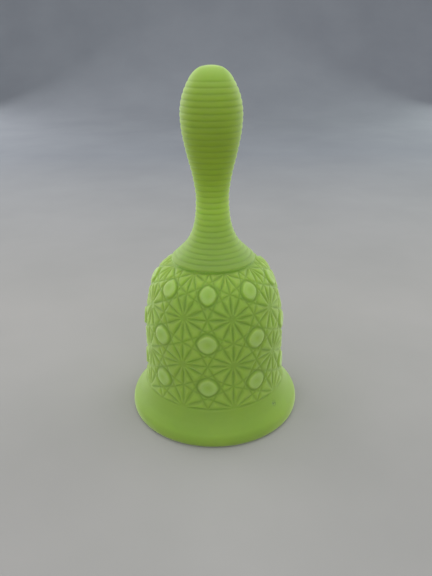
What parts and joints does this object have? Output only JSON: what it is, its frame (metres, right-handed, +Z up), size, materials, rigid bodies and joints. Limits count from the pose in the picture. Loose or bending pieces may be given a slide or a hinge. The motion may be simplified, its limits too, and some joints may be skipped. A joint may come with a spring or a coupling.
{
  "type": "glass hand bell",
  "caption": "Pressed-glass hand bell with a ringed handle, patterned skirt, flared mouth and a metal drop clapper on a wire chain.",
  "frame": {"origin": "centre of the rim, on the surface that the bell stands on", "axes": "+Z up along the bell's axis, -Y towards the viewer, +X to the viewer's right"},
  "size_m": [0.0778, 0.0778, 0.1508],
  "materials": {
    "satin_glass": "satin",
    "cement": "matte",
    "wire": "satin",
    "plated_drop": "polished"
  },
  "bodies": {
    "bell": {"bell_glass": "satin_glass", "crown_cement": "cement", "hanger_loop": "wire"},
    "link_1": {"chain_link_1": "wire"},
    "link_2": {"chain_link_2": "wire"},
    "link_3": {"chain_link_3": "wire"},
    "link_4": {"chain_link_4": "wire"},
    "link_5": {"chain_link_5": "wire"},
    "link_6": {"chain_link_6": "wire"},
    "link_7": {"chain_link_7": "wire"},
    "clapper": {"clapper_pin": "wire", "clapper_drop": "plated_drop"}
  },
  "joints": [
    {"name": "swing_1", "type": "hinge", "parent": "bell", "child": "link_1", "pos_m": [0, 0, 0.0606], "axis": [1, 0, 0], "range_deg": [-31, 31]},
    {"name": "swing_2", "type": "hinge", "parent": "link_1", "child": "link_2", "pos_m": [0, 0, 0.05645], "axis": [0, 1, 0], "range_deg": [-25, 25]},
    {"name": "swing_3", "type": "hinge", "parent": "link_2", "child": "link_3", "pos_m": [0, 0, 0.05215], "axis": [1, 0, 0], "range_deg": [-32, 32]},
    {"name": "swing_4", "type": "hinge", "parent": "link_3", "child": "link_4", "pos_m": [0, 0, 0.04785], "axis": [0, 1, 0], "range_deg": [-34, 34]},
    {"name": "swing_5", "type": "hinge", "parent": "link_4", "child": "link_5", "pos_m": [0, 0, 0.04355], "axis": [1, 0, 0], "range_deg": [-55, 55]},
    {"name": "swing_6", "type": "hinge", "parent": "link_5", "child": "link_6", "pos_m": [0, 0, 0.03925], "axis": [0, 1, 0], "range_deg": [-67, 67]},
    {"name": "swing_7", "type": "hinge", "parent": "link_6", "child": "link_7", "pos_m": [0, 0, 0.03495], "axis": [1, 0, 0], "range_deg": [-48, 48]},
    {"name": "swing_clapper", "type": "hinge", "parent": "link_7", "child": "clapper", "pos_m": [0, 0, 0.03065], "axis": [0, 1, 0], "range_deg": [-80, 80]}
  ]
}
